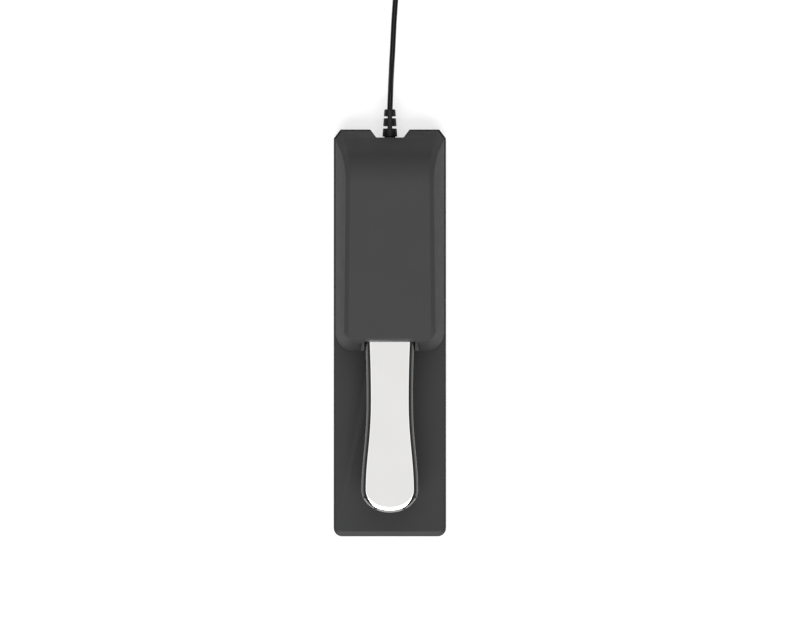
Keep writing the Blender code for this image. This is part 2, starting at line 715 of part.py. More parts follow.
def circuit(board_finish, dark, metal, white):
    bm = bmesh.new()
    half_x, half_y = BOARD_HALF
    across = (BOARD_Y - half_y, BOARD_Y + half_y)
    block(bm, (-half_x, half_x), across, (BOARD_Z, BOARD_Z + BOARD_THICK))
    board = make("circuit_board", bm, board_finish)
    holes = bmesh.new()
    for side, x in (("left", -BOARD_SCREW_X), ("right", BOARD_SCREW_X)):
        cylinder(holes, SMALL_SCREW_RADIUS + GAP, BOARD_Z - 1, BOARD_TOP + 1, 12, (x, BOARD_SCREW_Y))
        point = (x, BOARD_SCREW_Y, BOARD_TOP)
        screw(f"board_screw_{side}", metal, point, (0, 0, -1), 6.0, 2.0, 1.4, SMALL_SCREW_RADIUS)
    boolean(board, make("board_holes", holes), "DIFFERENCE")

    body = bmesh.new()
    block(body, (-10, 10), (SWITCH_Y - 3.2, SWITCH_Y + 3.2), (BOARD_TOP, BOARD_TOP + 10.3))
    body = make("switch_body", body, dark)
    pocket = bmesh.new()
    block(pocket, (-1.8, 1.8), (SWITCH_Y - 1.3, SWITCH_Y + 1.3), (BOARD_TOP + 4.5, BOARD_TOP + 12))
    boolean(body, make("switch_pocket", pocket), "DIFFERENCE")
    plunger = bmesh.new()
    block(plunger, (-1.5, 1.5), (SWITCH_Y - 1.0, SWITCH_Y + 1.0), (BOARD_TOP + 5.0, PLUNGER_TOP))
    set_origin(make("switch_plunger", plunger, white), (0, SWITCH_Y, PLUNGER_TOP))

    connector = bmesh.new()
    block(connector, (-4, 4), (85.6, 91.2), (BOARD_TOP, BOARD_TOP + 6.5))
    make("wire_connector", connector, white)


def wiring(cable, red, black):
    tube("inner_cable", [(0, y, EXIT_Z) for y in (118.1, 112.0, CLAMP_Y, 99.5)], CORD_RADIUS, cable)
    for name, x, finish in (("wire_signal", 1, red), ("wire_ground", -1, black)):
        route = [(x * 0.9, 99.1, EXIT_Z), (x * 1.1, 97.4, 18.2)]
        route += [(x * 1.7, 94.5, 20.2), (x * 2.0, 91.6, 20.8)]
        tube(name, smooth_route(route, 1.6), 0.6, finish, 1)


def cable_clamp(finish, metal):
    bm = bmesh.new()
    half_x, half_y = SADDLE_HALF[0], SADDLE_HALF[1] - 0.5
    block(bm, (-half_x, half_x), (CLAMP_Y - half_y, CLAMP_Y + half_y), (SADDLE_TOP + GAP, CLAMP_TOP))
    clamp = make("cable_clamp", bm, finish)
    groove = bmesh.new()
    cylinder(groove, CORD_RADIUS + GAP, -8, 8, 12)
    place = along((0, CLAMP_Y, EXIT_Z), (0, 1, 0))
    boolean(clamp, make("clamp_bore", groove, None, place), "DIFFERENCE")
    mouth = bmesh.new()
    block(mouth, (-1.9, 1.9), (CLAMP_Y - 6, CLAMP_Y + 6), (13.0, EXIT_Z))
    boolean(clamp, make("clamp_mouth", mouth), "DIFFERENCE")
    holes = bmesh.new()
    for side, x in (("left", -CLAMP_SCREW_X), ("right", CLAMP_SCREW_X)):
        cylinder(holes, SMALL_SCREW_RADIUS + GAP, 12, 24, 12, (x, CLAMP_Y))
        point = (x, CLAMP_Y, CLAMP_TOP + GAP)
        screw(f"clamp_screw_{side}", metal, point, (0, 0, -1), 11.0, 2.0, 1.4, SMALL_SCREW_RADIUS)
    boolean(clamp, make("clamp_holes", holes), "DIFFERENCE")


# ---------------------------------------------------------------- lead


def strain_relief(finish):
    """The ribbed boot: a flange inside the wall, a neck through it and three ribs that taper."""
    profile = [(4.9, 118.4), (4.9, 120.6), (3.5, 120.6), (3.5, 123.9)]
    for radius, low, high in ((4.7, 124.0, 128.8), (4.0, 130.7, 135.3), (3.55, 136.9, RELIEF_END)):
        profile += [(radius, low), (radius * 0.97, high), (2.3, high), (2.3, high + 1.7)]
    profile = profile[:-2]
    make("strain_relief", turned(profile), finish, along((0, 0, EXIT_Z), (0, 1, 0)))


def lead(cable, velvet):
    tube("cord_run", smooth_route(CORD_ROUTE, 6.0), CORD_RADIUS, cable)
    tube("cord_tail", smooth_route(TAIL_ROUTE, 2.0), CORD_RADIUS, cable)
    place = Matrix.Translation((*COIL_CENTRE, 0))
    w, h, c = COIL_HALF_WIDTH, COIL_HEIGHT, 1.8
    profile = [(-w, c), (-w, h - c), (c - w, h), (w - c, h)]
    profile += [(w, h - c), (w, c), (w - c, FLOOR_GAP), (c - w, FLOOR_GAP)]
    coil = make("cord_coil", turned_ring([(COIL_MEAN + r, z) for r, z in profile], 32), cable, place)
    notch = bmesh.new()
    block(notch, (5, 35), (-5.0, 5.0), (-1, 1.5))
    boolean(coil, make("tie_notch", notch, None, place), "DIFFERENCE")
    tie = bmesh.new()
    low, high = COIL_MEAN - w - 1.2, COIL_MEAN + w + 0.4
    strap = 1.0
    base, top = FLOOR_GAP, h + 1.4
    outer = [(low - strap, base), (high + strap, base), (high + strap, top), (low - strap, top)]
    inner = [(low, base + strap), (high, base + strap), (high, top - strap), (low, top - strap)]
    rows = []
    for side, y in ((outer, -4.0), (outer, 4.0), (inner, 4.0), (inner, -4.0)):
        rows.append([tie.verts.new((x, y, z)) for x, z in side])
    for k, first in enumerate(rows):
        second = rows[(k + 1) % 4]
        for i in range(4):
            j = (i + 1) % 4
            tie.faces.new((first[i], first[j], second[j], second[i]))
    make("cord_tie", tie, velvet, place)


def plug(rubber, shell, steel, dark):
    place = along((PLUG_X, PLUG_Y, PLUG_Z), (0, 1, 0))
    make("plug_relief", turned([(2.6, 0.0), (2.9, 0.8), (4.6, 14.0), (4.6, 15.0)]), rubber, place)
    body = [(5.2, 15.3), (6.2, 16.6), (6.2, 38.0), (5.6, 40.0)]
    make("plug_body", turned(body, 20), shell, place)
    make("plug_sleeve", turned([(3.175, 40.3), (3.175, 60.5)]), steel, place)
    make("plug_insulator", turned([(3.1, 60.8), (3.1, 62.0)]), dark, place)
    tip = [(3.1, 62.3), (3.1, 63.4), (2.3, 64.6), (3.1, 66.6), (2.9, 68.0), (0.8, 71.2)]
    make("plug_tip", turned(tip), steel, place)


def main():
    clear_scene()
    shell_plastic = material("housing_plastic", (0.06, 0.06, 0.062), 0.5)
    rubber = material("rubber", (0.02, 0.02, 0.02), 0.8)
    chrome = material("chrome", (0.82, 0.81, 0.79), 0.08, 1.0)
    steel = material("zinc_steel", (0.5, 0.5, 0.52), 0.35, 1.0)
    dark = material("switch_plastic", (0.03, 0.03, 0.03), 0.4)
    nylon = material("nylon", (0.75, 0.73, 0.68), 0.5)
    felt = material("felt", (0.16, 0.17, 0.16), 0.95)
    board = material("board", (0.02, 0.14, 0.05), 0.4)
    cable = material("cord_jacket", (0.012, 0.012, 0.012), 0.3)
    red = material("wire_red", (0.5, 0.02, 0.02), 0.4)
    nickel = material("nickel", (0.7, 0.69, 0.66), 0.2, 1.0)

    base_shell(shell_plastic)
    ballast_plate(steel)
    rubber_sole(rubber)
    polarity_switch(dark, nylon)
    top_housing(shell_plastic)
    names = ("rear_right", "rear_left", "front_right", "front_left")
    for name, (x, y) in zip(names, HOUSING_SCREWS):
        point = (x, y, PLATE_BOTTOM + 1.7)
        screw(f"housing_screw_{name}", steel, point, (0, 0, 1), 17.0, 2.9, 1.6, SCREW_RADIUS)

    lever = pedal_lever(chrome)
    riding = [switch_finger(nylon)]
    pivot_parts(steel, nylon, riding)
    riding.append(spring_seats(nylon))
    set_origin(lever, PIVOT)
    for piece in riding:
        hang(piece, lever)
    return_spring(steel)
    stops(felt, rubber)

    circuit(board, dark, steel, nylon)
    wiring(cable, red, cable)
    cable_clamp(dark, steel)

    strain_relief(rubber)
    lead(cable, felt)
    plug(rubber, dark, nickel, dark)


main()
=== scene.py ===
"""The looks of the sustain pedal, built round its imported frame.

Shapes are built in millimetres and make() turns them into metres. Sizes come from the frame's own
nodes wherever a node has them.
"""

import math

import bmesh
import bpy
from mathutils import Matrix, Vector


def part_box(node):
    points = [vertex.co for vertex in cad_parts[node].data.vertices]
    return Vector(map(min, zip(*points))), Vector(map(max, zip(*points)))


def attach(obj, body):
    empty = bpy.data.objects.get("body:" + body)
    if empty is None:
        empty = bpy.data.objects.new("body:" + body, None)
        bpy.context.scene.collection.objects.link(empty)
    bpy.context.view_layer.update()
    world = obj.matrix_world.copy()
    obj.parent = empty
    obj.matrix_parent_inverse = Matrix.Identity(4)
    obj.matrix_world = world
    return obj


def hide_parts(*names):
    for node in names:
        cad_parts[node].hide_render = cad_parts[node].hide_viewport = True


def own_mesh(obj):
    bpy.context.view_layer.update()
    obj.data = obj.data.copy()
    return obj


MM = 0.001

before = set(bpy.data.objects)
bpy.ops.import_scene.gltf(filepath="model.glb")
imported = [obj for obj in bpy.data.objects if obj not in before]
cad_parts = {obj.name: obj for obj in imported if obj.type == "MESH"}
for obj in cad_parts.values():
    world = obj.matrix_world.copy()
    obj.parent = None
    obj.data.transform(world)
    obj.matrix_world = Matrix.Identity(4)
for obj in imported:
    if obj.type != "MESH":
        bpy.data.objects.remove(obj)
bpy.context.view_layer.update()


def span(node):
    """A CAD node's lowest and highest corner, in millimetres."""
    low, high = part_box(node)
    return Vector(low) / MM, Vector(high) / MM


BASE = span("base_shell")
HOUSING = span("top_housing")
LEVER = span("pedal_lever")
SOLE = span("rubber_sole")
RELIEF = span("strain_relief")
COIL = span("cord_coil")
PLUG_RELIEF = span("plug_relief")
PLUG_BODY = span("plug_body")
PLUG_SLEEVE = span("plug_sleeve")
PLUG_RING = span("plug_insulator")
PLUG_TIP = span("plug_tip")
TIE = span("cord_tie")
SPRING = span("return_spring")


# ---------------------------------------------------------------- shape tools


def make(name, bm, finish, place=None, smooth=35.0):
    """A named object from a bmesh in millimetres."""
    bm.transform(place or Matrix())
    bm.transform(Matrix.Scale(MM, 4))
    bmesh.ops.recalc_face_normals(bm, faces=bm.faces)
    mesh = bpy.data.meshes.new(name)
    bm.to_mesh(mesh)
    bm.free()
    mesh.shade_smooth()
    mesh.set_sharp_from_angle(angle=math.radians(smooth))
    obj = bpy.data.objects.new(name, mesh)
    bpy.context.scene.collection.objects.link(obj)
    mesh.materials.append(finish)
    return obj


def apply_modifiers(obj):
    graph = bpy.context.evaluated_depsgraph_get()
    mesh = bpy.data.meshes.new_from_object(obj.evaluated_get(graph))
    obj.modifiers.clear()
    old = obj.data
    obj.data = mesh
    bpy.data.meshes.remove(old)


def boolean(target, tool, operation="DIFFERENCE"):
    """Cuts or joins a tool piece, applies it and removes the tool."""
    step = target.modifiers.new("boolean", "BOOLEAN")
    step.object = tool
    step.operation = operation
    step.material_mode = "TRANSFER"
    apply_modifiers(target)
    bpy.data.objects.remove(tool, do_unlink=True)


def soften(obj, width, segments=3, angle=30.0):
    """Rounds the edges that are sharper than the angle, and evens the shading."""
    step = obj.modifiers.new("soften", "BEVEL")
    step.width = width * MM
    step.segments = segments
    step.limit_method = "ANGLE"
    step.angle_limit = math.radians(angle)
    step.harden_normals = True
    step.use_clamp_overlap = True
    apply_modifiers(obj)


def loft(bm, rings, ladder=False):
    """A body through rings of equal length. A ladder cap joins mirrored points in strips."""
    loops = [[bm.verts.new(p) for p in ring] for ring in rings]
    count = len(rings[0])
    for low, high in zip(loops, loops[1:]):
        for i in range(count):
            j = (i + 1) % count
            bm.faces.new((low[i], low[j], high[j], high[i]))
    for loop in (loops[0], loops[-1]):
        if ladder:
            for i in range(count // 2 - 1):
                bm.faces.new((loop[i], loop[i + 1], loop[-2 - i], loop[-1 - i]))
        else:
            bm.faces.new(loop)


def prism(bm, outline, low, high):
    loft(bm, [[(x, y, z) for x, y in outline] for z in (low, high)])


def block(bm, x, y, z):
    outline = [(x[0], y[0]), (x[1], y[0]), (x[1], y[1]), (x[0], y[1])]
    prism(bm, outline, *z)


def circle(radius, steps, centre=(0.0, 0.0)):
    turns = [2 * math.pi * i / steps for i in range(steps)]
    return [(centre[0] + radius * math.cos(a), centre[1] + radius * math.sin(a)) for a in turns]


def turned(profile, steps=48):
    """A body turned about Z from (radius, height) points, with flat ends."""
    bm = bmesh.new()
    loft(bm, [[(x, y, z) for x, y in circle(r, steps)] for r, z in profile])
    return bm


def along(point, direction):
    turn = Vector(direction).to_track_quat("Z", "Y").to_matrix().to_4x4()
    return Matrix.Translation(Vector(point)) @ turn


def mirrored(half):
    return half + [(-x, y) for x, y in reversed(half)]


def inset(loop, distance):
    """The loop moved inwards. It runs clockwise from above."""
    moved = []
    for i, here in enumerate(loop):
        before = (Vector(here) - Vector(loop[i - 1])).normalized()
        after = (Vector(loop[(i + 1) % len(loop)]) - Vector(here)).normalized()
        first = Vector((before.y, -before.x))
        second = Vector((after.y, -after.x))
        step = (first + second) * distance / (1 + first.dot(second))
        moved.append(tuple(Vector(here) + step))
    return moved


def arc(centre, radii, start, end, steps):
    turns = [math.radians(start + (end - start) * i / steps) for i in range(steps + 1)]
    x, y = centre
    return [(x + radii[0] * math.cos(a), y + radii[1] * math.sin(a)) for a in turns]


def smooth_step(value):
    value = max(0.0, min(1.0, value))
    return value * value * (3 - 2 * value)


def mix(a, b, t):
    return a + (b - a) * t


def smooth_route(points, spacing):
    """Points read at an even spacing from a smooth curve through the given ones."""
    knots = [Vector(p) for p in points]
    knots = [2 * knots[0] - knots[1]] + knots + [2 * knots[-1] - knots[-2]]
    fine = []
    for a, b, c, d in zip(knots, knots[1:], knots[2:], knots[3:]):
        for t in (i / 20 for i in range(20)):
            bend = (2 * a - 5 * b + 4 * c - d) * t * t + (3 * b - a - 3 * c + d) * t**3
            fine.append(0.5 * (2 * b + (c - a) * t + bend))
    fine.append(knots[-2])
    length = sum((q - p).length for p, q in zip(fine, fine[1:]))
    count = max(2, round(length / spacing))
    wanted, gone, route = length / count, 0.0, [fine[0]]
    for p, q in zip(fine, fine[1:]):
        step = (q - p).length
        while gone + step >= wanted * len(route) - 1e-6 and len(route) < count:
            route.append(p.lerp(q, (wanted * len(route) - gone) / step))
        gone += step
    return route + [fine[-1]]


def tube(name, points, radius, finish, resolution=6):
    """A round curve through points in millimetres, with closed ends."""
    curve = bpy.data.curves.new(name, "CURVE")
    curve.dimensions = "3D"
    curve.bevel_depth = radius * MM
    curve.bevel_resolution = resolution
    curve.use_fill_caps = True
    line = curve.splines.new("POLY")
    line.points.add(len(points) - 1)
    for spot, point in zip(line.points, points):
        spot.co = (*(Vector(point) * MM), 1.0)
    line.use_smooth = True
    curve.materials.append(finish)
    obj = bpy.data.objects.new(name, curve)
    bpy.context.scene.collection.objects.link(obj)
    return obj


def add(piece, body, slot, *nodes):
    """Hangs a piece on the body it rides on and hides the CAD nodes it stands for. The slot is
    not used.
    """
    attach(piece, body)
    if nodes:
        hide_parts(*nodes)
    return piece


# ---------------------------------------------------------------- camera


VIEW_WIDTH = 506.0  # what the picture takes in, at the height of the deck
VIEW_DISTANCE = 4000.0
VIEW_TARGET = Vector((6.4, 8.1, 12.0))
VIEW_TILT = math.radians(1.5)


def camera():
    data = bpy.data.cameras.new("camera")
    data.sensor_width = 36.0
    data.lens = data.sensor_width * VIEW_DISTANCE / VIEW_WIDTH
    data.clip_end = 50.0
    obj = bpy.data.objects.new("camera", data)
    back = Vector((0.0, -math.sin(VIEW_TILT), math.cos(VIEW_TILT)))
    obj.location = (VIEW_TARGET + back * VIEW_DISTANCE) * MM
    obj.rotation_euler = (VIEW_TILT, 0.0, 0.0)
    bpy.context.scene.collection.objects.link(obj)
    bpy.context.scene.camera = obj


camera()


# ---------------------------------------------------------------- materials


class Finish:
    """A Principled material and short ways to drive its sockets."""

    def __init__(self, name, colour, roughness, metallic=0.0):
        self.made = bpy.data.materials.new(name)
        self.made.use_nodes = True
        self.nodes = self.made.node_tree.nodes
        self.links = self.made.node_tree.links
        self.shader = self.nodes["Principled BSDF"]
        self.colour = colour
        self.set("Base Color", (*colour, 1.0))
        self.set("Roughness", roughness)
        self.set("Metallic", metallic)
        self.place = self.nodes.new("ShaderNodeTexCoord").outputs["Object"]
        self.height = None

    def set(self, socket, value):
        self.shader.inputs[socket].default_value = value

    def scaled(self, scale):
        """Object coordinates stretched by a scale along each axis."""
        node = self.nodes.new("ShaderNodeMapping")
        node.inputs["Scale"].default_value = scale
        self.links.new(self.place, node.inputs["Vector"])
        return node.outputs["Vector"]

    def noise(self, size, detail=3.0, stretch=(1, 1, 1), rough=0.5):
        """Noise whose grains measure about size millimetres."""
        node = self.nodes.new("ShaderNodeTexNoise")
        node.inputs["Scale"].default_value = 1.0
        node.inputs["Detail"].default_value = detail
        node.inputs["Roughness"].default_value = rough
        scale = tuple(1.0 / (size * MM * s) for s in stretch)
        self.links.new(self.scaled(scale), node.inputs["Vector"])
        return node.outputs["Fac"]

    def cells(self, size):
        node = self.nodes.new("ShaderNodeTexVoronoi")
        node.inputs["Scale"].default_value = 1.0
        self.links.new(self.scaled((1.0 / (size * MM),) * 3), node.inputs["Vector"])
        return node.outputs["Distance"]

    def ramp(self, source, low, high, start=0.3, end=0.7):
        """A source remapped from start..end to low..high."""
        node = self.nodes.new("ShaderNodeMapRange")
        node.inputs["From Min"].default_value = start
        node.inputs["From Max"].default_value = end
        node.inputs["To Min"].default_value = low
        node.inputs["To Max"].default_value = high
        self.links.new(source, node.inputs["Value"])
        return node.outputs["Result"]

    def vary_roughness(self, source, low, high):
        self.links.new(self.ramp(source, low, high), self.shader.inputs["Roughness"])

    def vary_colour(self, source, dark, light):
        """Base colour between two multiples of the finish's own colour."""
        node = self.nodes.new("ShaderNodeMix")
        node.data_type = "RGBA"
        low, high = ((*(min(1.0, c * k) for c in self.colour), 1.0) for k in (dark, light))
        node.inputs["A"].default_value = low
        node.inputs["B"].default_value = high
        self.links.new(self.ramp(source, 0.0, 1.0), node.inputs["Factor"])
        self.links.new(node.outputs["Result"], self.shader.inputs["Base Color"])

    def bump(self, source, depth, strength=1.0):
        """Relief of a depth in millimetres, on top of any relief that is already there."""
        node = self.nodes.new("ShaderNodeBump")
        node.inputs["Distance"].default_value = depth * MM
        node.inputs["Strength"].default_value = strength
        self.links.new(source, node.inputs["Height"])
        if self.height:
            self.links.new(self.height, node.inputs["Normal"])
        self.height = node.outputs["Normal"]
        self.links.new(self.height, self.shader.inputs["Normal"])


def moulded_plastic(name, tone, roughness=0.68, level=0.1):
    """Charcoal moulding with a fine spark-eroded grain and faint handling marks."""
    finish = Finish(name, (tone, tone, tone * 1.02), roughness)
    finish.set("Specular IOR Level", level)
    finish.vary_colour(finish.noise(18.0, 4.0), 0.98, 1.02)
    finish.vary_roughness(finish.noise(9.0, 5.0), roughness - 0.03, roughness + 0.03)
    finish.bump(finish.noise(0.35, 2.0), 0.012, 0.6)
    return finish.made


def rubber_finish(name, tone, grain):
    finish = Finish(name, (tone, tone, tone), 0.5)
    finish.set("Specular IOR Level", 0.2)
    finish.vary_colour(finish.noise(6.0, 4.0), 0.8, 1.25)
    finish.vary_roughness(finish.noise(2.0, 4.0), 0.42, 0.58)
    finish.bump(finish.noise(grain, 3.0), 0.015, 0.6)
    return finish.made


def chrome_finish():
    """Bright plate with hair-fine polishing lines along the lever and faint smudges."""
    finish = Finish("chrome", (0.66, 0.655, 0.65), 0.06, 1.0)
    finish.vary_roughness(finish.noise(14.0, 5.0), 0.03, 0.07)
    finish.vary_colour(finish.noise(25.0, 3.0), 0.985, 1.01)
    finish.bump(finish.noise(0.25, 2.0, (1, 40, 1)), 0.0006, 0.5)
    finish.bump(finish.noise(22.0, 1.0), 0.02, 0.12)
    return finish.made


def zinc_finish():
    finish = Finish("zinc_steel", (0.55, 0.55, 0.57), 0.32, 1.0)
    finish.vary_colour(finish.cells(1.6), 0.85, 1.1)
    finish.vary_roughness(finish.noise(1.2, 4.0), 0.25, 0.45)
    finish.bump(finish.noise(0.3, 3.0, (1, 6, 1)), 0.008, 0.5)
    return finish.made


def nickel_finish():
    finish = Finish("nickel", (0.74, 0.71, 0.66), 0.14, 1.0)
    finish.vary_roughness(finish.noise(4.0, 4.0), 0.09, 0.2)
    finish.vary_colour(finish.noise(5.0, 3.0), 0.95, 1.03)
    finish.bump(finish.noise(0.2, 2.0, (30, 1, 30)), 0.002, 0.5)
    return finish.made


def gloss_plastic(name, tone):
    finish = Finish(name, (tone, tone, tone), 0.28)
    finish.vary_colour(finish.noise(5.0, 3.0), 0.85, 1.15)
    finish.vary_roughness(finish.noise(3.0, 4.0), 0.22, 0.36)
    finish.bump(finish.noise(0.5, 2.0), 0.01, 0.4)
    return finish.made


def nylon_finish():
    finish = Finish("nylon", (0.75, 0.73, 0.68), 0.45)
    finish.set("Subsurface Weight", 0.1)
    finish.set("Subsurface Radius", (0.002, 0.002, 0.0015))
    finish.vary_colour(finish.noise(4.0, 3.0), 0.94, 1.03)
    finish.vary_roughness(finish.noise(1.5, 3.0), 0.38, 0.55)
    finish.bump(finish.noise(0.6, 2.0), 0.01, 0.5)
    return finish.made


def felt_finish():
    """Matted fibres: two stretched noises that cross, under a soft sheen."""
    finish = Finish("felt", (0.05, 0.05, 0.05), 0.95)
    finish.set("Sheen Weight", 0.4)
    finish.set("Sheen Roughness", 0.5)
    finish.vary_colour(finish.noise(0.5, 4.0, (6, 1, 2)), 0.6, 1.6)
    finish.bump(finish.noise(0.3, 4.0, (8, 1, 3)), 0.08, 0.8)
    finish.bump(finish.noise(0.3, 4.0, (1, 8, 3)), 0.08, 0.8)
    return finish.made


def board_finish():
    """Solder mask over a faint pattern of tracks."""
    finish = Finish("board", (0.02, 0.14, 0.05), 0.3)
    tracks = finish.nodes.new("ShaderNodeTexBrick")
    finish.links.new(finish.scaled((220.0, 220.0, 220.0)), tracks.inputs["Vector"])
    tracks.inputs["Mortar Size"].default_value = 0.08
    finish.vary_colour(tracks.outputs["Fac"], 0.8, 1.7)
    finish.vary_roughness(finish.noise(2.0, 3.0), 0.24, 0.4)
    finish.bump(tracks.outputs["Fac"], 0.03, 0.6)
    return finish.made


def jacket_finish(name, colour):
    """Extruded PVC: glossy, with faint draw lines and soft waviness."""
    finish = Finish(name, colour, 0.3)
    finish.set("Specular IOR Level", 0.2)
    finish.vary_colour(finish.noise(8.0, 3.0), 0.9, 1.1)
    finish.vary_roughness(finish.noise(6.0, 4.0), 0.27, 0.33)
    finish.bump(finish.noise(0.5, 2.0), 0.002, 0.3)
    return finish.made


PLASTIC = moulded_plastic("housing_plastic", 0.036)
BASE_PLASTIC = moulded_plastic("base_plastic", 0.029)
# Painted highlight: a lighter, glossier copy of the plastic for the base's front bevel and the
# lip over the opening.
HIGHLIGHT_PLASTIC = moulded_plastic("painted_highlight_edge", 0.038, 0.42)
RUBBER = rubber_finish("rubber", 0.006, 0.4)
SOLE_RUBBER = rubber_finish("sole_rubber", 0.022, 0.6)
CHROME = chrome_finish()
ZINC = zinc_finish()
NICKEL = nickel_finish()
DARK = gloss_plastic("switch_plastic", 0.02)
NYLON = nylon_finish()
FELT = felt_finish()
BOARD = board_finish()
JACKET = jacket_finish("cord_jacket", (0.004, 0.004, 0.004))
WIRE_RED = jacket_finish("wire_red", (0.5, 0.02, 0.02))


# ---------------------------------------------------------------- cord


CORD_RADIUS = 1.75
EXIT_Z = (RELIEF[0].z + RELIEF[1].z) / 2  # height at which the cord leaves
CORD_RUN = [
    (0.0, 141.2, 17.5),
    (0.2, 146.5, 17.3),
    (0.4, 152.0, 15.6),
    (0.6, 158.0, 11.8),
    (0.9, 164.5, 7.2),
    (1.2, 171.0, 3.6),
    (1.6, 178.0, 2.0),
    (2.0, 186.0, 1.8),
    (2.6, 198.0, 1.8),
    (3.3, 208.6, 1.8),
    (4.0, 220.0, 1.8),
    (4.4, 231.0, 1.8),
    (4.4, 238.0, 1.8),
]
TURN_PITCH = 2 * CORD_RADIUS
TIE_LIFT = 1.1  # how far the strap under the coil raises the bottom turns
TIE_LIFT_ABOVE = 0.6  # the share of that lift in the turns above
TIE_REACH = 0.35  # radians each side of the strap over which the lift fades
ROUTE_SPACING = 1.5


def coil_turn(turn):
    """Radius and height of the winding after a number of turns: in, out, in again and out."""
    middle = (COIL[1].x - COIL[0].x) / 2 - 2.5 * TURN_PITCH
    inner, outer = middle - 2 * TURN_PITCH, middle + 2 * TURN_PITCH
    layers = [CORD_RADIUS + 0.05 + TURN_PITCH * k for k in range(3)]
    if turn < 4:
        return outer - TURN_PITCH * turn, layers[0]
    if turn < 5:
        return inner, mix(layers[0], layers[1], math.sin((turn - 4) * math.pi / 2))
    if turn < 9:
        return inner + TURN_PITCH * (turn - 5), layers[1]
    if turn < 10:
        back, up = smooth_step((turn - 9.3) / 0.7), smooth_step((turn - 9) / 0.5)
        return mix(outer, inner + TURN_PITCH, back), mix(layers[1], layers[2], up)
    return inner + TURN_PITCH * (turn - 9), layers[2]


def cord():
    """One lead: out of the relief, along the floor, round the coil and into the plug."""
    centre = (COIL[0] + COIL[1]) / 2
    steps, turns = 40, 13
    winding = []
    for i in range(steps * turns + 1):
        turn = i / steps
        radius, z = coil_turn(turn)
        angle = math.pi - 2 * math.pi * turn
        away = math.remainder(angle, 2 * math.pi)
        share = 1.0 if z < TURN_PITCH else TIE_LIFT_ABOVE
        z += TIE_LIFT * math.exp(-((away / TIE_REACH) ** 2)) * share
        x = centre.x + radius * math.cos(angle)
        winding.append((x, centre.y + radius * math.sin(angle), z))
    end = Vector(((PLUG_RELIEF[0].x + PLUG_RELIEF[1].x) / 2, PLUG_RELIEF[0].y, 6.3))
    last = Vector(winding[-1])
    tail = [last, last + Vector((0, 6.0, -0.4))]
    tail += [end + Vector((0.1, -6.0, 0.5)), end + Vector((0, 0.6, 0))]
    route = smooth_route(CORD_RUN, ROUTE_SPACING)[:-1]
    join = [CORD_RUN[-2], CORD_RUN[-1], winding[0]]
    route += smooth_route(join, ROUTE_SPACING)[8:-1]
    route += [Vector(p) for p in winding[:-1]]
    route += smooth_route(tail, ROUTE_SPACING)
    return tube("cord", route, CORD_RADIUS, JACKET)


RELIEF_WALL, RELIEF_END = 124.0, 141.1
RELIEF_STEPS = (RELIEF_WALL, 128.8, 130.7, 135.3, 136.9, RELIEF_END)
RELIEF_SLOTS = ((128.9, 130.6), (135.4, 136.8))


def relief_radius(y):
    """Radius of the boot along its length, from the wall outwards."""
    return mix(4.7, 3.5, (y - RELIEF_WALL) / (RELIEF_END - RELIEF_WALL))


def strain_relief():
    """The boot: a tapered sleeve, slotted from both sides between its three ribs."""
    profile = [(3.4, 120.6), (3.5, 120.9), (3.5, RELIEF_WALL)]
    for low, high in zip(RELIEF_STEPS, RELIEF_STEPS[1:]):
        profile += [(relief_radius(low), low), (relief_radius(high) * 0.995, high)]
    profile[-1] = (relief_radius(RELIEF_END) - 0.35, RELIEF_END)
    profile.insert(-1, (relief_radius(140.7), 140.7))
    clean = [profile[0]]
    for point in profile[1:]:
        if (Vector(point) - Vector(clean[-1])).length > 0.02:
            clean.append(point)
    clean = [(4.9, 118.4), (4.9, 120.5), (3.5, 120.6)] + clean[1:]
    place = along((0, 0, EXIT_Z), (0, 1, 0))
    boot = make("strain_relief_boot", turned(clean, 64), RUBBER, place)
    side = bmesh.new()
    for low, high in RELIEF_SLOTS:
        for x in ((-9.0, -1.5), (1.5, 9.0)):
            block(side, x, (low, high), (EXIT_Z - 9, EXIT_Z + 9))
    boolean(boot, make("side_slots", side, RUBBER))
    soften(boot, 0.22, 2, 40.0)
    return add(boot, "body", "rubber", "strain_relief")


STRAP_THICKNESS = 0.95
STRAP_CORNER = 2.6


def cord_tie():
    """A soft strap in a closed loop round the bundle."""
    low, high = TIE
    middle_y = (low.y + high.y) / 2

    def loop(grow):
        x0, x1 = low.x + 0.05 - grow, high.x - 0.05 + grow
        z0, z1 = low.z + 0.02 - grow, high.z - 0.4 + grow
        r = STRAP_CORNER + grow
        corners = (
            ((x1 - r, z1 - r), 90, 0),
            ((x1 - r, z0 + r), 0, -90),
            ((x0 + r, z0 + r), -90, -180),
            ((x0 + r, z1 - r), 180, 90),
        )
        return [p for centre, start, end in corners for p in arc(centre, (r, r), start, end, 8)]

    bm = bmesh.new()
    half = (high.y - low.y) / 2 - 0.05
    inner, outer = loop(-STRAP_THICKNESS), loop(0.0)
    sides = [(inner, -half), (inner, half), (outer, half), (outer, -half)]
    rows = [[bm.verts.new((x, middle_y + y, z)) for x, z in side] for side, y in sides]
    for k, first in enumerate(rows):
        second = rows[(k + 1) % 4]
        for i in range(len(first)):
            j = (i + 1) % len(first)
            bm.faces.new((first[i], first[j], second[j], second[i]))
    strap = make("cord_tie_strap", bm, FELT)
    soften(strap, 0.25, 2, 50.0)
    return add(strap, "body", "felt", "cord_tie")


PLUG_SIDES = 64
PLUG_FLUTES = 16
PLUG_POINT = [  # radius, and the share of the point's length
    (2.95, 0.0),
    (3.08, 0.02),
    (3.08, 0.12),
    (2.6, 0.2),
    (2.3, 0.26),
    (2.35, 0.31),
    (2.75, 0.4),
    (3.05, 0.48),
    (3.1, 0.54),
    (2.95, 0.62),
    (2.4, 0.75),
    (1.7, 0.88),
    (1.1, 0.96),
    (0.5, 0.995),
]


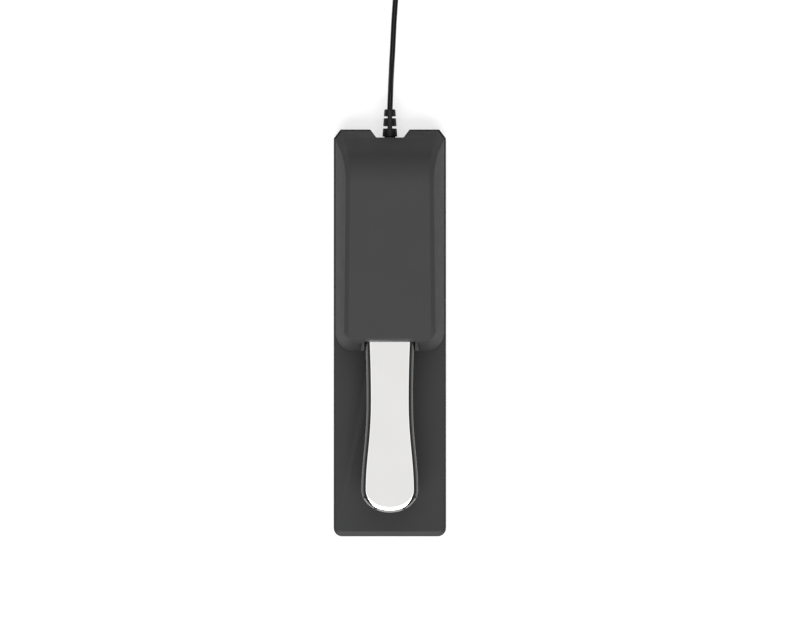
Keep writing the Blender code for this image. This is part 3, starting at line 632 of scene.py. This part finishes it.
def plug():
    """A moulded quarter-inch plug lying on the floor."""
    x = (PLUG_BODY[0].x + PLUG_BODY[1].x) / 2
    z = (PLUG_BODY[0].z + PLUG_BODY[1].z) / 2
    place = along((x, 0, z), (0, 1, 0))
    pieces = []

    low, high = PLUG_RELIEF[0].y, PLUG_RELIEF[1].y
    profile = [(2.3, low), (2.65, low + 0.3)]
    ribs = 4
    step = (high - 1.0 - low - 0.8) / ribs
    for i in range(ribs):
        start = low + 0.8 + step * i
        radius = mix(2.9, 4.5, (i + 0.5) / ribs)
        profile += [(radius - 0.1, start), (radius, start + 0.4)]
        profile += [(radius + 0.05, start + step * 0.6)]
        profile += [(radius - 0.45, start + step * 0.68), (radius - 0.45, start + step * 0.96)]
    profile += [(4.55, high - 0.9), (4.55, high)]
    boot = make("plug_boot", turned(profile), RUBBER, place)
    pieces.append(add(boot, "body", "rubber", "plug_relief"))

    low, high = PLUG_BODY[0].y, PLUG_BODY[1].y
    profile = [(4.9, low), (5.5, low + 0.5), (6.1, low + 1.4), (6.2, low + 2.2)]
    profile += [(6.2, high - 3.2), (5.9, high - 2.2), (5.9, high - 0.5), (5.5, high)]
    grip = make("plug_grip", turned(profile, PLUG_SIDES), DARK, place)
    flutes = bmesh.new()
    for i in range(PLUG_FLUTES):
        a = 2 * math.pi * i / PLUG_FLUTES
        ring = circle(0.55, 10, (6.35 * math.cos(a), 6.35 * math.sin(a)))
        prism(flutes, ring, low + 4.0, high - 6.0)
    boolean(grip, make("grip_flutes", flutes, DARK, place))
    soften(grip, 0.12, 2, 40.0)
    pieces.append(add(grip, "body", "switch_plastic", "plug_body"))

    low, high = PLUG_SLEEVE[0].y, PLUG_SLEEVE[1].y
    sleeve = turned([(3.16, low), (3.16, high - 0.15), (3.0, high)], PLUG_SIDES)
    shaft = make("plug_shaft", sleeve, NICKEL, place)
    pieces.append(add(shaft, "body", "nickel", "plug_sleeve"))
    low, high = PLUG_RING[0].y, PLUG_RING[1].y
    profile = [(2.95, low), (3.08, low + 0.15), (3.08, high - 0.15), (2.95, high)]
    collar = make("plug_collar", turned(profile, PLUG_SIDES), DARK, place)
    pieces.append(add(collar, "body", "switch_plastic", "plug_insulator"))
    low, high = PLUG_TIP[0].y, PLUG_TIP[1].y
    reach = high - low
    tip = turned([(r, low + reach * t) for r, t in PLUG_POINT], PLUG_SIDES)
    point = make("plug_point", tip, NICKEL, place)
    pieces.append(add(point, "body", "nickel", "plug_tip"))
    return pieces


CORD = cord()
add(CORD, "body", "cord_jacket", "cord_run", "cord_tail", "cord_coil")
ON_CORD = [strain_relief(), cord_tie(), *plug()]


# ---------------------------------------------------------------- housing


REAR_CHAMFER = (4.0, 5.3)
CORNER_RADIUS = 12.0
BELT_Z = 22.0
DRAFT = 0.203
CREST_Y = 92.8
CREST_Z = 34.1
CREST_RADIUS = 24.0
PLATE_TILT = math.radians(3.0)
REAR_TILT = math.radians(62.0)
EDGE_DROP = 3.0
EDGE_WIDTH = 2.7
FACET_START = 94.0
FACET_END = 124.0
FACET_DROP = 5.5
FACET_WIDTH = 2.5
WALL = 2.5
OPENING_HALF = 15.95
OPENING_TOP = 47.5
JAMB_SPLAY = 2.4
JAMB_TOP = 46.0
NOTCH_MOUTH = 12.45
NOTCH_FLOOR = 8.35
NOTCH_DEPTH = 5.4
LIP_WIDTH = 1.5  # steep facet along the opening's top edge
LIP_HEIGHT = 3.2
JAMB_PROUD = 0.2  # how far the cheeks beside the opening stand in front of the wall's foot
HOUSING_FRONT = HOUSING[0].y + JAMB_PROUD


def roof_z(y, depth=0.0):
    """Height of the housing's top along its middle: top plate, crest arc and rear slope."""
    radius = CREST_RADIUS - depth
    lean = math.asin(max(-1.0, min(1.0, (y - CREST_Y) / radius)))
    lean = max(-PLATE_TILT, min(REAR_TILT, lean))
    arc_y = CREST_Y + radius * math.sin(lean)
    arc_z = CREST_Z + radius * math.cos(lean)
    return arc_z - (y - arc_y) * math.tan(lean)


def housing_stations():
    """(foot point, inward direction) down the +X side and round the front corner."""
    half = HOUSING[1].x
    rear = HOUSING[1].y - REAR_CHAMFER[1]
    front = HOUSING_FRONT + CORNER_RADIUS
    rows = [rear, 120.0] + [118.0 - 2.0 * i for i in range(15)]
    rows += [80.0, 65.0, 50.0, 35.0, 20.0, 10.0, front]
    stations = [((half, y), (-1.0, 0.0)) for y in rows]
    centre = (half - CORNER_RADIUS, front)
    for x, y in arc(centre, (CORNER_RADIUS, CORNER_RADIUS), 0, -90, 18)[1:]:
        inward = ((centre[0] - x) / CORNER_RADIUS, (centre[1] - y) / CORNER_RADIUS)
        stations.append(((x, y), inward))
    return stations


def housing_rings(depth, foot):
    """Foot, belt, shoulder and top-edge loops of the housing's outside, or of its inside."""
    corner_x = HOUSING[1].x - REAR_CHAMFER[0] - depth * 0.4
    rear = HOUSING[1].y - depth
    rear_top = roof_z(rear - 0.7, depth)
    rows = [
        [(corner_x, rear, foot)],
        [(corner_x, rear, rear_top - 2.6)],
        [(corner_x, rear, rear_top - 1.6)],
        [(corner_x - 1.0, rear - 0.7, rear_top)],
    ]
    for (x, y), (nx, ny) in housing_stations():
        opened = smooth_step((y - FACET_START) / (FACET_END - FACET_START))
        drop = EDGE_DROP + FACET_DROP * opened
        width = EDGE_WIDTH + FACET_WIDTH * opened
        shoulder_z = roof_z(y, depth) - drop
        belt_z = min(BELT_Z, shoulder_z - 0.5)
        lean = depth + max(0.0, shoulder_z - BELT_Z) * DRAFT
        top_y = y + ny * (lean + width)
        rows[0].append((x + nx * depth, y + ny * depth, foot))
        rows[1].append((x + nx * depth, y + ny * depth, belt_z))
        rows[2].append((x + nx * lean, y + ny * lean, shoulder_z))
        rows[3].append((x + nx * (lean + width), top_y, roof_z(top_y, depth)))
    return [row + [(-x, y, z) for x, y, z in reversed(row)] for row in rows]


def opening_cutter():
    """The lever opening through the front wall."""
    bm = bmesh.new()
    block(bm, (-OPENING_HALF, OPENING_HALF), (-16.0, 0.0), (5.0, OPENING_TOP))
    return make("opening_cutter", bm, PLASTIC)


def lip_cutter():
    """A wedge that leaves a steep lip along the opening's top edge; the cut faces take its
    lighter plastic as a painted highlight.
    """
    edge = HOUSING_FRONT + (OPENING_TOP - BELT_Z) * DRAFT
    (y0, z0), (y1, z1) = (
        (edge + LIP_WIDTH * t, OPENING_TOP + LIP_HEIGHT * t) for t in (-0.4, 1.3)
    )
    side = [(y0, z0), (y1, z1), (edge - 3.0, z1), (edge - 3.0, z0)]
    bm = bmesh.new()
    loft(bm, [[(x, y, z) for y, z in side] for x in (-OPENING_HALF, OPENING_HALF)])
    return make("lip_cutter", bm, HIGHLIGHT_PLASTIC)


def jamb_post(side):
    """An upright cheek beside the opening, standing forward of the leaning wall."""
    foot, front = HOUSING[0].z + 0.1, HOUSING_FRONT - JAMB_PROUD
    rear = HOUSING_FRONT + 7.8
    bm = bmesh.new()
    plan = [(side * (OPENING_HALF - 0.8), front), (side * (OPENING_HALF + JAMB_SPLAY), front)]
    plan += [(side * (OPENING_HALF + 0.5), rear), (side * (OPENING_HALF - 0.8), rear)]
    tops = [JAMB_TOP - 4.0, JAMB_TOP - 4.0, JAMB_TOP, JAMB_TOP]
    bottom = [(x, y, foot) for x, y in plan]
    loft(bm, [bottom, [(x, y, z) for (x, y), z in zip(plan, tops)]])
    return make("jamb_post", bm, PLASTIC)


def notch_cutter():
    bm = bmesh.new()
    wall = BASE[1].y - NOTCH_DEPTH - 0.5
    reach = 132.0
    floor = NOTCH_FLOOR + 0.5
    mouth = floor + (reach - wall) * (NOTCH_MOUTH - NOTCH_FLOOR) / NOTCH_DEPTH
    prism(bm, [(-floor, wall), (floor, wall), (mouth, reach), (-mouth, reach)], 5.0, 45.0)
    return make("notch_cutter", bm, PLASTIC)


def housing_cover():
    bm = bmesh.new()
    inside, outside = housing_rings(WALL, HOUSING[0].z), housing_rings(0.0, HOUSING[0].z)
    loft(bm, inside[::-1] + outside, ladder=True)
    cover = make("housing_cover", bm, PLASTIC)
    soften(cover, 0.5, 3, 12.0)
    pad = bmesh.new()
    side = [(120.9, 12.8), (125.2, 12.8), (125.2, 20.5), (120.9, 28.5)]
    loft(pad, [[(x, y, z) for y, z in side] for x in (-13.0, 13.0)])
    boolean(cover, make("notch_pad", pad, PLASTIC), "UNION")
    boolean(cover, notch_cutter())
    boolean(cover, jamb_post(-1), "UNION")
    boolean(cover, jamb_post(1), "UNION")
    boolean(cover, opening_cutter())
    boolean(cover, lip_cutter())
    bore = bmesh.new()
    prism(bore, circle(3.8, 40), -6.0, 6.0)
    boolean(cover, make("relief_bore", bore, PLASTIC, along((0, 122, EXIT_Z), (0, 1, 0))))
    soften(cover, 0.3, 2, 38.0)
    return add(cover, "body", "housing_plastic", "top_housing")


# ---------------------------------------------------------------- base


FRONT_RADIUS = 5.3
BASE_CHAMFER = (4.3, 5.6)
DECK_TOP = 12.0
DECK_EDGE = 1.5
FRONT_EDGE = 3.0
REAR_EDGE = 0.15
STOP_POST_RADIUS = 6.0
STOP_POST_Y = 28.0
STOP_POST_TOP = 30.0
# Width and heights of the black strip round the back, painted shade for the shadow line between
# the shells.
SHADOW_LINE_DEPTH = 1.9
SHADOW_LINE_LOW, SHADOW_LINE_HIGH = 11.95, 12.25
SOLE_WINDOW = ((-8.0, 8.0), (86.5, 95.5))  # under the polarity switch
GROOVE_PITCH = 4.0
GROOVE_COUNT = 56
GROOVE_HALF = 0.7
GROOVE_DEPTH = 0.7
GROOVE_REACH = 28.5
GROOVE_GAP = 2.5  # plain rubber in front of and behind the window


def base_outline():
    side, rear = BASE[1].x, BASE[1].y
    half = [
        (NOTCH_FLOOR, rear - NOTCH_DEPTH),
        (NOTCH_MOUTH, rear),
        (side - BASE_CHAMFER[0], rear),
        (side, rear - BASE_CHAMFER[1]),
    ]
    centre = (side - FRONT_RADIUS, FRONT_RADIUS - rear)
    return mirrored(half + arc(centre, (FRONT_RADIUS, FRONT_RADIUS), 0, -90, 16))


def base_cover():
    """The lower shell as it shows: a skirt, a rounded edge and the long deck."""
    outline = base_outline()
    inward = inset(outline, 1.0)

    def ring(distance, z):
        return [(x, y, z) for x, y in inset(outline, distance)]

    def deck_edge():
        """The deck's rim: wide at the front, narrow behind the housing."""
        loop = []
        for (x, y), (inner_x, inner_y) in zip(outline, inward):
            front = smooth_step((6.0 - BASE[1].y - y) / 5.0)
            rear = smooth_step((y - BASE[1].y + 8.0) / 6.0)
            width = mix(mix(DECK_EDGE, FRONT_EDGE, front), REAR_EDGE, rear)
            loop.append((x + (inner_x - x) * width, y + (inner_y - y) * width, DECK_TOP))
        return loop

    rings = [
        ring(WALL, DECK_TOP - WALL),
        ring(WALL, BASE[0].z),
        ring(0.0, BASE[0].z),
        ring(0.0, 3.4),
        ring(0.35, 3.7),
        ring(0.35, 4.1),
        ring(0.0, 4.4),
        ring(0.0, DECK_TOP - DECK_EDGE),
        deck_edge(),
    ]
    bm = bmesh.new()
    loft(bm, rings)
    cover = make("base_cover", bm, BASE_PLASTIC)
    # The front bevel's faces take the lighter highlight plastic: a painted highlight along the
    # front edge.
    cover.data.materials.append(HIGHLIGHT_PLASTIC)
    for face in cover.data.polygons:
        at_front = face.center.y < (BASE[0].y + FRONT_EDGE) * MM
        if at_front and 0.3 < face.normal.z < 0.97:
            face.material_index = 1
    soften(cover, 0.35, 3, 25.0)
    post = bmesh.new()
    footprint = circle(STOP_POST_RADIUS, 32, (0.0, STOP_POST_Y))
    prism(post, footprint, DECK_TOP - 1, STOP_POST_TOP)
    boolean(cover, make("stop_post", post, BASE_PLASTIC), "UNION")
    return add(cover, "body", "housing_plastic", "base_shell")


def rear_shadow_line():
    """A black strip between the two shells round the back: painted shade that stands in for the
    thin shadow line there.
    """
    outline = base_outline()
    bm = bmesh.new()
    levels = ((SHADOW_LINE_DEPTH, SHADOW_LINE_LOW), (0.0, SHADOW_LINE_LOW), (0.0, SHADOW_LINE_HIGH), (SHADOW_LINE_DEPTH, SHADOW_LINE_HIGH))
    rows = []
    for reach, z in levels:
        rows.append([bm.verts.new((x, y, z)) for x, y in inset(outline, reach)])
    behind = [i for i, (x, y) in enumerate(outline) if y > 0]
    run = [i for i in behind if outline[i][0] < 0]
    run += [i for i in behind if outline[i][0] > 0]
    for i, j in zip(run, run[1:]):
        for row, above in zip(rows, rows[1:] + rows[:1]):
            bm.faces.new((row[i], row[j], above[j], above[i]))
    for i in (run[0], run[-1]):
        bm.faces.new([row[i] for row in rows])
    bmesh.ops.delete(bm, geom=[v for v in bm.verts if not v.link_faces], context="VERTS")
    return add(make("rear_shadow_line", bm, RUBBER), "body", "rubber")


def sole():
    """The rubber sole, with a border and a field of cross ribs underneath."""
    outline = inset(base_outline(), WALL + 0.4)
    bm = bmesh.new()
    prism(bm, outline, 0.0, SOLE[1].z)
    pad = make("sole_pad", bm, SOLE_RUBBER)
    grooves = bmesh.new()
    window_x, window_y = SOLE_WINDOW
    for i in range(GROOVE_COUNT):
        y = SOLE[0].y + 10.0 + GROOVE_PITCH * i
        near_window = window_y[0] - GROOVE_GAP < y < window_y[1] + GROOVE_GAP
        if near_window or y > SOLE[1].y - 12.0:
            continue
        across, along_y = (-GROOVE_REACH, GROOVE_REACH), (y - GROOVE_HALF, y + GROOVE_HALF)
        block(grooves, across, along_y, (-1.0, GROOVE_DEPTH))
    boolean(pad, make("sole_grooves", grooves, SOLE_RUBBER))
    window = bmesh.new()
    block(window, window_x, window_y, (-1.0, SOLE[1].z + 1))
    boolean(pad, make("sole_window", window, SOLE_RUBBER))
    soften(pad, 0.2, 2, 40.0)
    return add(pad, "body", "rubber", "rubber_sole")


# ---------------------------------------------------------------- lever


PIVOT_Y, PIVOT_Z = 55.0, 32.0
LEVER_METAL = 1.8
LEVER_SKIRT = 33.0
LEVER_SKIRT_REAR = 24.0
WAIST_Y, WAIST_HALF = -42.5, 14.85
NECK_Y, NECK_HALF = -7.7, 15.6
NOSE_Y, NOSE_LENGTH = -99.4, 14.5
LEVER_DRAFT = 0.45  # how far the side wall leans in up to the roll
SKIRT_ROUND = 0.25  # how far the skirt's lower corners are cut back
ROLL = (  # distance out from the flat top, and the edge's slope there in degrees
    (0.0, 0.0),
    (0.25, 5.0),
    (0.5, 10.5),
    (0.7, 16.0),
    (0.85, 20.0),
    (1.9, 26.0),
    (2.1, 33.0),
    (3.1, 40.0),
)
ROLL_WIDTH = ROLL[-1][0]
PIVOT_HOLE_RADIUS = 4.8
NOSE_ROLL = 0.25  # how much wider the roll is at the nose


def lever_half(y):
    """Half width of the lever's lower edge."""
    if y > WAIST_Y:
        reach = min(1.0, (y - WAIST_Y) / (NECK_Y - WAIST_Y))
        return WAIST_HALF + (NECK_HALF - WAIST_HALF) * reach**2
    reach = ((WAIST_Y - y) / (WAIST_Y - NOSE_Y)) ** 1.15
    return WAIST_HALF + (LEVER[1].x - WAIST_HALF) * (1 - math.cos(math.pi * reach)) / 2


def lever_outline():
    rows = [LEVER[1].y - 4.0 * i for i in range(41)]
    half = [(lever_half(y), y) for y in rows if y > NOSE_Y + 2.0]
    nose = arc((0.0, NOSE_Y), (LEVER[1].x, NOSE_LENGTH), 0, -90, 40)[:-1]
    return mirrored(half + nose)


def lever_shell():
    """Deep-drawn lever: flat top, rolled edge and drafted side wall, open underneath."""
    outline = lever_outline()
    inward = inset(outline, 1.0)
    top = LEVER[1].z

    def skirt(y):
        reach = smooth_step((y + 14.0) / 44.0)
        return mix(LEVER_SKIRT, LEVER_SKIRT_REAR, reach)

    def ring(distance, z=None, nose=0.0):
        """A loop inside the outline; nose is the extra distance at the very front."""
        loop = []
        for (x, y), (inner_x, inner_y) in zip(outline, inward):
            front = max(0.0, min(1.0, (NOSE_Y - y) / NOSE_LENGTH)) ** 2
            reach = distance + nose * front
            height = skirt(y) if z is None else z
            loop.append((x + (inner_x - x) * reach, y + (inner_y - y) * reach, height))
        return loop

    roll, height = [], top
    for (past, before), (across, slope) in zip(ROLL[:1] + ROLL, ROLL):
        height -= (across - past) * math.tan(math.radians((slope + before) / 2))
        share = 1 - across / ROLL_WIDTH
        roll.append(ring(LEVER_DRAFT + 0.05 + ROLL_WIDTH * share, height, NOSE_ROLL * share))
    close = [(Vector(a) * 0.06 + Vector(b) * 0.94)[:] for a, b in zip(roll[-2], roll[-1])]
    shoulder = [ring(LEVER_DRAFT, height - 0.25), ring(LEVER_DRAFT + 0.015, height - 0.1)]
    outside = [*shoulder, roll[-1], close, *roll[-2::-1]]
    under = top - LEVER_METAL
    inside = []
    for i in range(5):
        a = math.radians(90 * i / 4)
        wall = LEVER_DRAFT + LEVER_METAL + 2 * (1 - math.cos(a))
        inside.append(ring(wall, under - 2 * (1 - math.sin(a))))
    lower = [ring(LEVER_METAL), ring(LEVER_METAL * 0.75), ring(SKIRT_ROUND), ring(0.0)]
    for i in (0, 3):
        lower[i] = [(x, y, z + SKIRT_ROUND) for x, y, z in lower[i]]
    bm = bmesh.new()
    loft(bm, inside[::-1] + lower + outside, ladder=True)
    shell = make("lever_shell", bm, CHROME, None, 50.0)
    holes = bmesh.new()
    prism(holes, circle(PIVOT_HOLE_RADIUS, 40), -25, 25)
    boolean(shell, make("pivot_holes", holes, CHROME, along((0, PIVOT_Y, PIVOT_Z), (1, 0, 0))))
    notch = bmesh.new()
    block(notch, (-6.5, 6.5), (59.0, 70.0), (20.0, under))
    boolean(shell, make("tail_notch", notch, CHROME))
    return add(shell, "lever", "chrome", "pedal_lever")


# ---------------------------------------------------------------- spring


SPRING_WIRE = 0.9


def return_spring():
    """A steel helix with one closed turn at each end. The real one shortens as the lever comes
    down; this one is a fixed mesh on the body.
    """
    wire, turns, steps = SPRING_WIRE, 6, 40
    centre_y = (SPRING[0].y + SPRING[1].y) / 2
    radius = (SPRING[1].x - SPRING[0].x) / 2 - wire
    low, high = SPRING[0].z + wire, SPRING[1].z - wire
    closed = 2 * wire + 0.1
    points = []
    for i in range(turns * steps + 1):
        turn = i / steps
        middle = (turn - 1) / (turns - 2)
        z = low + closed + (high - low - 2 * closed) * middle
        if turn < 1:
            z = low + closed * turn
        if turn > turns - 1:
            z = high - closed * (turns - turn)
        a = 2 * math.pi * turn
        points.append((radius * math.cos(a), centre_y + radius * math.sin(a), z))
    coil = tube("spring_wire", points, wire, ZINC, 4)
    graph = bpy.context.evaluated_depsgraph_get()
    mesh = bpy.data.meshes.new_from_object(coil.evaluated_get(graph))
    bpy.data.objects.remove(coil, do_unlink=True)
    mesh.shade_smooth()
    wound = bpy.data.objects.new("spring_coil", mesh)
    bpy.context.scene.collection.objects.link(wound)
    add(wound, "body", "zinc_steel", "return_spring")
    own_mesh(wound)


# ---------------------------------------------------------------- carried-over nodes


def set_finish(node, finish):
    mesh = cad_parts[node].data
    mesh.materials.clear()
    mesh.materials.append(finish)


KEPT = {
    ZINC: ("ballast_plate", "pivot_bracket", "pivot_axle", "axle_clip_left", "axle_clip_right"),
    NYLON: (
        "switch_finger",
        "pivot_bush_left",
        "pivot_bush_right",
        "spring_seat_lower",
        "spring_seat_upper",
        "switch_plunger",
        "wire_connector",
        "polarity_slide",
    ),
    RUBBER: ("down_stop_bumper",),
    FELT: ("up_stop_felt",),
    BOARD: ("circuit_board",),
    DARK: ("switch_body", "cable_clamp", "polarity_switch_body"),
    JACKET: ("inner_cable", "wire_ground"),
    WIRE_RED: ("wire_signal",),
}


def finish_kept_nodes():
    for finish, nodes in KEPT.items():
        for node in nodes:
            set_finish(node, finish)
    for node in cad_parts:
        if "_screw_" in node:
            set_finish(node, ZINC)


# ---------------------------------------------------------------- stage


FLOOR_GLOW = 0.6
FLOOR_REACH = 6000
WORLD_TONE = 0.05
LIGHT_HEIGHT = 4.6
OVERHEAD = 2.3  # how bright the panels are in front of and behind the dimmer middle one


def floor():
    finish = Finish("floor", (0.4, 0.4, 0.4), 0.85)
    finish.set("Specular IOR Level", 0.1)
    finish.set("Emission Color", (1.0, 1.0, 1.0, 1.0))
    finish.set("Emission Strength", FLOOR_GLOW)
    finish.vary_colour(finish.noise(400.0, 2.0), 0.99, 1.01)
    bm = bmesh.new()
    block(bm, (-FLOOR_REACH, FLOOR_REACH), (-FLOOR_REACH, FLOOR_REACH), (-60, 0))
    make("floor", bm, finish.made)


def area_light(name, place, size, radiance, aim):
    """A panel whose face has the given brightness, turned towards a point."""
    data = bpy.data.lights.new(name, "AREA")
    data.shape = "RECTANGLE"
    data.size, data.size_y = size
    data.energy = radiance * math.pi * size[0] * size[1]
    obj = bpy.data.objects.new(name, data)
    obj.location = place
    obj.rotation_euler = (Vector(aim) - Vector(place)).to_track_quat("-Z", "Y").to_euler()
    bpy.context.scene.collection.objects.link(obj)


def softbox(name, low, high, radiance):
    """A panel level with the floor, from one (x, y) corner to the other."""
    size = (high[0] - low[0], high[1] - low[1])
    middle = ((low[0] + high[0]) / 2, (low[1] + high[1]) / 2, LIGHT_HEIGHT)
    area_light(name, middle, size, radiance, (middle[0], middle[1], 0.0))


def lights():
    softbox("overhead_middle", (-0.5, -0.5), (0.5, 0.5), 1.15)
    softbox("overhead_left", (-1.8, -0.5), (-0.5, 0.5), 1.5)
    softbox("overhead_right", (0.5, -0.5), (1.8, 0.5), 1.5)
    softbox("overhead_front", (-1.8, -1.8), (1.8, -0.5), OVERHEAD)
    softbox("overhead_back", (-1.8, 0.5), (1.8, 2.4), OVERHEAD)
    softbox("back", (-1.8, 2.4), (1.8, 4.3), 3.5)
    softbox("front", (-2.9, -5.3), (2.9, -1.8), 8.5)
    area_light("front_fill", (0.0, -5.0, 2.2), (4.0, 4.0), 0.5, (0.0, 0.0, 0.2))
    area_light("back_card", (0.0, 5.5, 2.5), (16.0, 4.6), 0.45, (0.0, 0.0, 0.3))
    for side in (-1, 1):
        area_light("side_fill", (side * 5.0, 0.0, 1.9), (4.0, 1.6), 0.15, (0.0, 0.0, 0.1))
        area_light("corner_card", (side * 4.2, -4.2, 1.4), (3.4, 2.2), 0.4, (0.0, 0.0, 0.2))
    world = bpy.data.worlds.new("studio")
    world.use_nodes = True
    background = world.node_tree.nodes["Background"]
    background.inputs["Color"].default_value = (WORLD_TONE, WORLD_TONE, WORLD_TONE, 1.0)
    bpy.context.scene.world = world
    bpy.context.scene.view_settings.view_transform = "Standard"


housing_cover()
base_cover()
rear_shadow_line()
sole()
lever_shell()
return_spring()
finish_kept_nodes()
floor()
lights()
